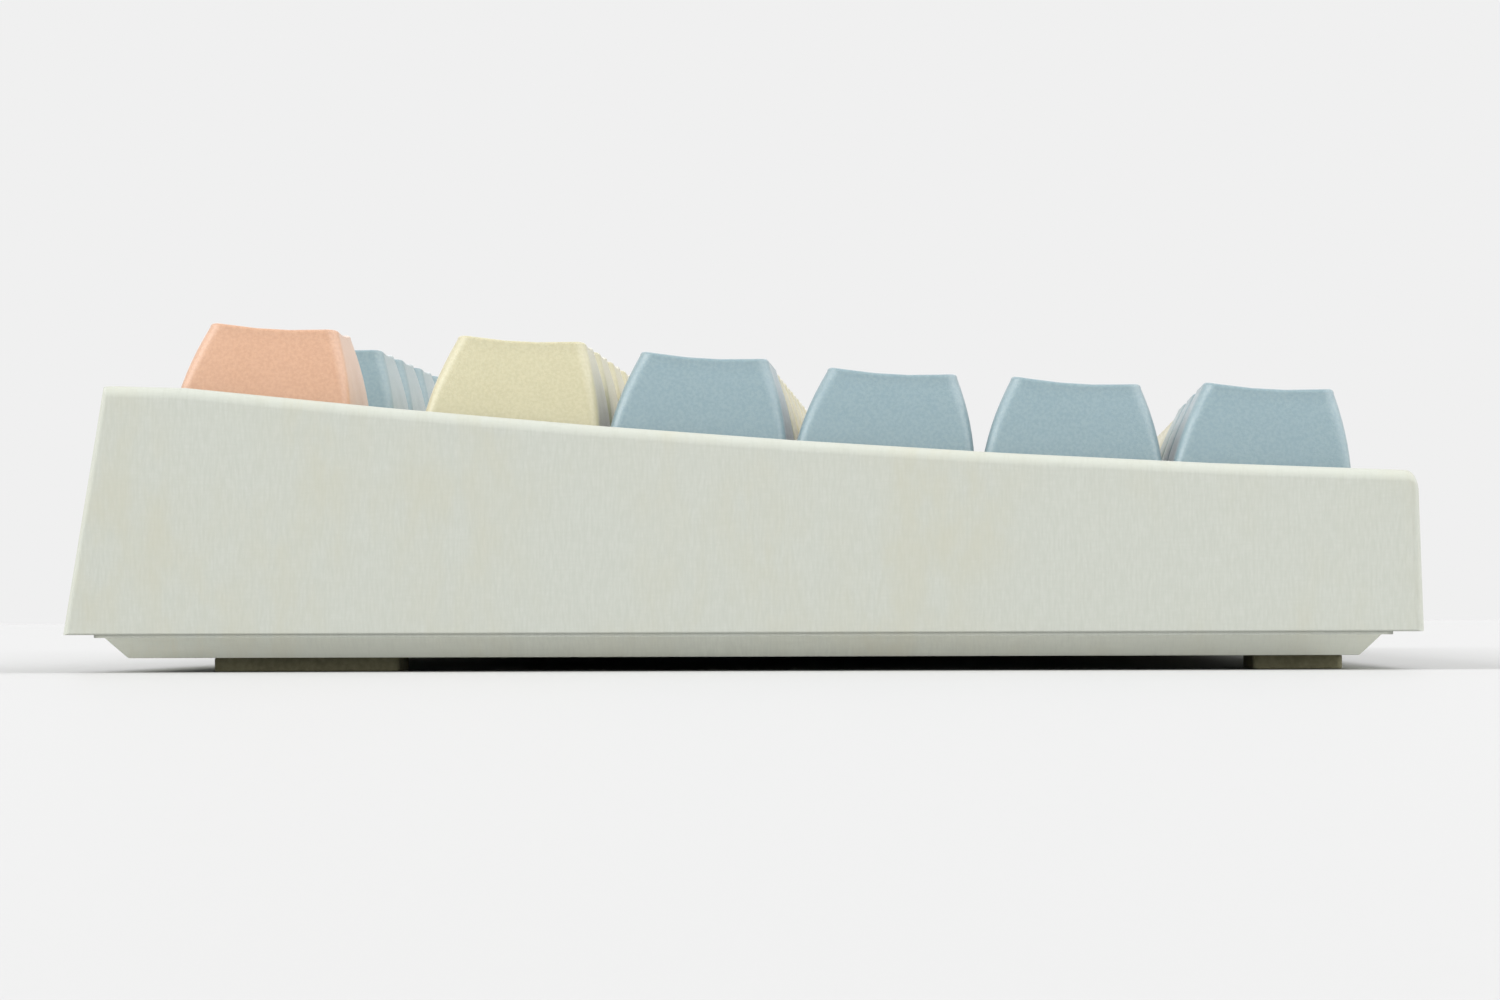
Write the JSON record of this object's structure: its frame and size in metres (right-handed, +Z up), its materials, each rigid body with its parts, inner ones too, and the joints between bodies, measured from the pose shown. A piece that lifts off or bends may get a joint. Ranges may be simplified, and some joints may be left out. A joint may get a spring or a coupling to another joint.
{
  "type": "mechanical keyboard",
  "caption": "Wedge-shaped mechanical keyboard in a white textured case with cream, grey-blue and coral caps whose keys press down square to a sloping plate.",
  "frame": {"origin": "on the table, under the middle of the case", "axes": "+X to the typist's right, +Y away from the typist, +Z up"},
  "size_m": [0.3614, 0.136, 0.036],
  "materials": {
    "case_shell": "white paint with a fine upright grain, satin",
    "foot_rubber": "matt olive-grey rubber",
    "cap_cream": "cream thermoplastic with a fine moulded texture",
    "cap_blue": "grey-blue thermoplastic with a fine moulded texture",
    "cap_coral": "coral thermoplastic with a fine moulded texture",
    "switch_black": "black glass-filled nylon",
    "switch_clear": "milky polycarbonate",
    "plate_metal": "fine bead-blasted, anodised",
    "steel": "plain steel",
    "spring_steel": "bright drawn wire",
    "contact_copper": "bright copper alloy",
    "board": "green solder mask over glass laminate",
    "chip_black": "black moulded epoxy"
  },
  "bodies": {
    "case": {"case_top": "case_shell", "case_bottom": "case_shell", "case_screws": "steel", "rubber_feet": "foot_rubber", "switch_plate": "plate_metal", "plate_screws": "steel", "circuit_board": "board", "switch_housings": "switch_black", "switch_covers": "switch_clear", "switch_springs": "spring_steel", "switch_contacts": "contact_copper", "stabiliser_housings": "switch_black", "usb_inlet": "steel", "controller_chip": "chip_black", "key_diodes": "chip_black"},
    "wire_backspace": {"wire_backspace": "spring_steel"},
    "wire_enter": {"wire_enter": "spring_steel"},
    "wire_left_shift": {"wire_left_shift": "spring_steel"},
    "wire_right_shift": {"wire_right_shift": "spring_steel"},
    "wire_space": {"wire_space": "spring_steel"},
    "key_escape": {"key_escape": "cap_coral"},
    "key_backquote": {"key_backquote": "cap_cream"},
    "key_backspace": {"key_backspace": "cap_blue"},
    "key_tab": {"key_tab": "cap_blue"},
    "key_caps_lock": {"key_caps_lock": "cap_blue"},
    "key_enter": {"key_enter": "cap_blue"},
    "key_left_shift": {"key_left_shift": "cap_blue"},
    "key_right_shift": {"key_right_shift": "cap_blue"},
    "key_left_control": {"key_left_control": "cap_blue"},
    "key_space": {"key_space": "cap_cream"},
    "key_q": {"key_q": "cap_cream"},
    "key_w": {"key_w": "cap_cream"},
    "key_e": {"key_e": "cap_cream"},
    "key_r": {"key_r": "cap_cream"},
    "key_t": {"key_t": "cap_cream"},
    "key_y": {"key_y": "cap_cream"},
    "key_u": {"key_u": "cap_cream"},
    "key_i": {"key_i": "cap_cream"},
    "key_o": {"key_o": "cap_cream"},
    "key_p": {"key_p": "cap_cream"},
    "key_a": {"key_a": "cap_cream"},
    "key_s": {"key_s": "cap_cream"},
    "key_d": {"key_d": "cap_cream"},
    "key_f": {"key_f": "cap_cream"},
    "key_g": {"key_g": "cap_cream"},
    "key_h": {"key_h": "cap_cream"},
    "key_j": {"key_j": "cap_cream"},
    "key_k": {"key_k": "cap_cream"},
    "key_l": {"key_l": "cap_cream"},
    "key_z": {"key_z": "cap_cream"},
    "key_x": {"key_x": "cap_cream"},
    "key_c": {"key_c": "cap_cream"},
    "key_v": {"key_v": "cap_cream"},
    "key_b": {"key_b": "cap_cream"},
    "key_n": {"key_n": "cap_cream"},
    "key_m": {"key_m": "cap_cream"},
    "function_row_keys": {"function_row_keys": "cap_blue"},
    "number_and_symbol_keys": {"number_and_symbol_keys": "cap_cream"},
    "modifier_keys": {"modifier_keys": "cap_blue"},
    "navigation_keys": {"navigation_keys": "cap_blue"}
  },
  "joints": [
    {"name": "press_escape", "type": "slide", "parent": "case", "child": "key_escape", "axis": [0, -0.0651, 0.9979], "range_m": [-0.004, 0], "stiffness_N_per_m": 62, "springref_m": 0.0056, "deforming": ["switch_springs"]},
    {"name": "press_backquote", "type": "slide", "parent": "case", "child": "key_backquote", "axis": [0, -0.0651, 0.9979], "range_m": [-0.004, 0], "stiffness_N_per_m": 62, "springref_m": 0.0056, "deforming": ["switch_springs"]},
    {"name": "press_backspace", "type": "slide", "parent": "case", "child": "key_backspace", "axis": [0, -0.0651, 0.9979], "range_m": [-0.004, 0], "stiffness_N_per_m": 62, "springref_m": 0.0056, "deforming": ["switch_springs"]},
    {"name": "press_tab", "type": "slide", "parent": "case", "child": "key_tab", "axis": [0, -0.0651, 0.9979], "range_m": [-0.004, 0], "stiffness_N_per_m": 62, "springref_m": 0.0056, "deforming": ["switch_springs"]},
    {"name": "press_caps_lock", "type": "slide", "parent": "case", "child": "key_caps_lock", "axis": [0, -0.0651, 0.9979], "range_m": [-0.004, 0], "stiffness_N_per_m": 62, "springref_m": 0.0056, "deforming": ["switch_springs"]},
    {"name": "press_enter", "type": "slide", "parent": "case", "child": "key_enter", "axis": [0, -0.0651, 0.9979], "range_m": [-0.004, 0], "stiffness_N_per_m": 62, "springref_m": 0.0056, "deforming": ["switch_springs"]},
    {"name": "press_left_shift", "type": "slide", "parent": "case", "child": "key_left_shift", "axis": [0, -0.0651, 0.9979], "range_m": [-0.004, 0], "stiffness_N_per_m": 62, "springref_m": 0.0056, "deforming": ["switch_springs"]},
    {"name": "press_right_shift", "type": "slide", "parent": "case", "child": "key_right_shift", "axis": [0, -0.0651, 0.9979], "range_m": [-0.004, 0], "stiffness_N_per_m": 62, "springref_m": 0.0056, "deforming": ["switch_springs"]},
    {"name": "press_left_control", "type": "slide", "parent": "case", "child": "key_left_control", "axis": [0, -0.0651, 0.9979], "range_m": [-0.004, 0], "stiffness_N_per_m": 62, "springref_m": 0.0056, "deforming": ["switch_springs"]},
    {"name": "press_space", "type": "slide", "parent": "case", "child": "key_space", "axis": [0, -0.0651, 0.9979], "range_m": [-0.004, 0], "stiffness_N_per_m": 62, "springref_m": 0.0056, "deforming": ["switch_springs"]},
    {"name": "press_q", "type": "slide", "parent": "case", "child": "key_q", "axis": [0, -0.0651, 0.9979], "range_m": [-0.004, 0], "stiffness_N_per_m": 62, "springref_m": 0.0056, "deforming": ["switch_springs"]},
    {"name": "press_w", "type": "slide", "parent": "case", "child": "key_w", "axis": [0, -0.0651, 0.9979], "range_m": [-0.004, 0], "stiffness_N_per_m": 62, "springref_m": 0.0056, "deforming": ["switch_springs"]},
    {"name": "press_e", "type": "slide", "parent": "case", "child": "key_e", "axis": [0, -0.0651, 0.9979], "range_m": [-0.004, 0], "stiffness_N_per_m": 62, "springref_m": 0.0056, "deforming": ["switch_springs"]},
    {"name": "press_r", "type": "slide", "parent": "case", "child": "key_r", "axis": [0, -0.0651, 0.9979], "range_m": [-0.004, 0], "stiffness_N_per_m": 62, "springref_m": 0.0056, "deforming": ["switch_springs"]},
    {"name": "press_t", "type": "slide", "parent": "case", "child": "key_t", "axis": [0, -0.0651, 0.9979], "range_m": [-0.004, 0], "stiffness_N_per_m": 62, "springref_m": 0.0056, "deforming": ["switch_springs"]},
    {"name": "press_y", "type": "slide", "parent": "case", "child": "key_y", "axis": [0, -0.0651, 0.9979], "range_m": [-0.004, 0], "stiffness_N_per_m": 62, "springref_m": 0.0056, "deforming": ["switch_springs"]},
    {"name": "press_u", "type": "slide", "parent": "case", "child": "key_u", "axis": [0, -0.0651, 0.9979], "range_m": [-0.004, 0], "stiffness_N_per_m": 62, "springref_m": 0.0056, "deforming": ["switch_springs"]},
    {"name": "press_i", "type": "slide", "parent": "case", "child": "key_i", "axis": [0, -0.0651, 0.9979], "range_m": [-0.004, 0], "stiffness_N_per_m": 62, "springref_m": 0.0056, "deforming": ["switch_springs"]},
    {"name": "press_o", "type": "slide", "parent": "case", "child": "key_o", "axis": [0, -0.0651, 0.9979], "range_m": [-0.004, 0], "stiffness_N_per_m": 62, "springref_m": 0.0056, "deforming": ["switch_springs"]},
    {"name": "press_p", "type": "slide", "parent": "case", "child": "key_p", "axis": [0, -0.0651, 0.9979], "range_m": [-0.004, 0], "stiffness_N_per_m": 62, "springref_m": 0.0056, "deforming": ["switch_springs"]},
    {"name": "press_a", "type": "slide", "parent": "case", "child": "key_a", "axis": [0, -0.0651, 0.9979], "range_m": [-0.004, 0], "stiffness_N_per_m": 62, "springref_m": 0.0056, "deforming": ["switch_springs"]},
    {"name": "press_s", "type": "slide", "parent": "case", "child": "key_s", "axis": [0, -0.0651, 0.9979], "range_m": [-0.004, 0], "stiffness_N_per_m": 62, "springref_m": 0.0056, "deforming": ["switch_springs"]},
    {"name": "press_d", "type": "slide", "parent": "case", "child": "key_d", "axis": [0, -0.0651, 0.9979], "range_m": [-0.004, 0], "stiffness_N_per_m": 62, "springref_m": 0.0056, "deforming": ["switch_springs"]},
    {"name": "press_f", "type": "slide", "parent": "case", "child": "key_f", "axis": [0, -0.0651, 0.9979], "range_m": [-0.004, 0], "stiffness_N_per_m": 62, "springref_m": 0.0056, "deforming": ["switch_springs"]},
    {"name": "press_g", "type": "slide", "parent": "case", "child": "key_g", "axis": [0, -0.0651, 0.9979], "range_m": [-0.004, 0], "stiffness_N_per_m": 62, "springref_m": 0.0056, "deforming": ["switch_springs"]},
    {"name": "press_h", "type": "slide", "parent": "case", "child": "key_h", "axis": [0, -0.0651, 0.9979], "range_m": [-0.004, 0], "stiffness_N_per_m": 62, "springref_m": 0.0056, "deforming": ["switch_springs"]},
    {"name": "press_j", "type": "slide", "parent": "case", "child": "key_j", "axis": [0, -0.0651, 0.9979], "range_m": [-0.004, 0], "stiffness_N_per_m": 62, "springref_m": 0.0056, "deforming": ["switch_springs"]},
    {"name": "press_k", "type": "slide", "parent": "case", "child": "key_k", "axis": [0, -0.0651, 0.9979], "range_m": [-0.004, 0], "stiffness_N_per_m": 62, "springref_m": 0.0056, "deforming": ["switch_springs"]},
    {"name": "press_l", "type": "slide", "parent": "case", "child": "key_l", "axis": [0, -0.0651, 0.9979], "range_m": [-0.004, 0], "stiffness_N_per_m": 62, "springref_m": 0.0056, "deforming": ["switch_springs"]},
    {"name": "press_z", "type": "slide", "parent": "case", "child": "key_z", "axis": [0, -0.0651, 0.9979], "range_m": [-0.004, 0], "stiffness_N_per_m": 62, "springref_m": 0.0056, "deforming": ["switch_springs"]},
    {"name": "press_x", "type": "slide", "parent": "case", "child": "key_x", "axis": [0, -0.0651, 0.9979], "range_m": [-0.004, 0], "stiffness_N_per_m": 62, "springref_m": 0.0056, "deforming": ["switch_springs"]},
    {"name": "press_c", "type": "slide", "parent": "case", "child": "key_c", "axis": [0, -0.0651, 0.9979], "range_m": [-0.004, 0], "stiffness_N_per_m": 62, "springref_m": 0.0056, "deforming": ["switch_springs"]},
    {"name": "press_v", "type": "slide", "parent": "case", "child": "key_v", "axis": [0, -0.0651, 0.9979], "range_m": [-0.004, 0], "stiffness_N_per_m": 62, "springref_m": 0.0056, "deforming": ["switch_springs"]},
    {"name": "press_b", "type": "slide", "parent": "case", "child": "key_b", "axis": [0, -0.0651, 0.9979], "range_m": [-0.004, 0], "stiffness_N_per_m": 62, "springref_m": 0.0056, "deforming": ["switch_springs"]},
    {"name": "press_n", "type": "slide", "parent": "case", "child": "key_n", "axis": [0, -0.0651, 0.9979], "range_m": [-0.004, 0], "stiffness_N_per_m": 62, "springref_m": 0.0056, "deforming": ["switch_springs"]},
    {"name": "press_m", "type": "slide", "parent": "case", "child": "key_m", "axis": [0, -0.0651, 0.9979], "range_m": [-0.004, 0], "stiffness_N_per_m": 62, "springref_m": 0.0056, "deforming": ["switch_springs"]},
    {"name": "press_function_row_keys", "type": "slide", "parent": "case", "child": "function_row_keys", "axis": [0, -0.0651, 0.9979], "range_m": [-0.004, 0], "stiffness_N_per_m": 930, "springref_m": 0.0056, "deforming": ["switch_springs"]},
    {"name": "press_number_and_symbol_keys", "type": "slide", "parent": "case", "child": "number_and_symbol_keys", "axis": [0, -0.0651, 0.9979], "range_m": [-0.004, 0], "stiffness_N_per_m": 1178, "springref_m": 0.0056, "deforming": ["switch_springs"]},
    {"name": "press_modifier_keys", "type": "slide", "parent": "case", "child": "modifier_keys", "axis": [0, -0.0651, 0.9979], "range_m": [-0.004, 0], "stiffness_N_per_m": 434, "springref_m": 0.0056, "deforming": ["switch_springs"]},
    {"name": "press_navigation_keys", "type": "slide", "parent": "case", "child": "navigation_keys", "axis": [0, -0.0651, 0.9979], "range_m": [-0.004, 0], "stiffness_N_per_m": 620, "springref_m": 0.0056, "deforming": ["switch_springs"]},
    {"name": "swing_backspace", "type": "hinge", "parent": "case", "child": "wire_backspace", "pos_m": [0.09287, 0.01586, 0.0167], "axis": [1, 0, 0], "range_deg": [-25.2, 0]},
    {"name": "swing_enter", "type": "hinge", "parent": "case", "child": "wire_enter", "pos_m": [0.09049, -0.02216, 0.01422], "axis": [1, 0, 0], "range_deg": [-25.2, 0]},
    {"name": "swing_left_shift", "type": "hinge", "parent": "case", "child": "wire_left_shift", "pos_m": [-0.1524, -0.04117, 0.01298], "axis": [1, 0, 0], "range_deg": [-25.2, 0]},
    {"name": "swing_right_shift", "type": "hinge", "parent": "case", "child": "wire_right_shift", "pos_m": [0.08572, -0.04117, 0.01298], "axis": [1, 0, 0], "range_deg": [-25.2, 0]},
    {"name": "swing_space", "type": "hinge", "parent": "case", "child": "wire_space", "pos_m": [-0.04286, -0.06018, 0.01174], "axis": [1, 0, 0], "range_deg": [-25.2, 0]}
  ],
  "couplings": [
    {"joint": "swing_backspace", "follows": "press_backspace", "rad_per_m": 109.08},
    {"joint": "swing_enter", "follows": "press_enter", "rad_per_m": 109.08},
    {"joint": "swing_left_shift", "follows": "press_left_shift", "rad_per_m": 109.08},
    {"joint": "swing_right_shift", "follows": "press_right_shift", "rad_per_m": 109.08},
    {"joint": "swing_space", "follows": "press_space", "rad_per_m": 109.08}
  ]
}
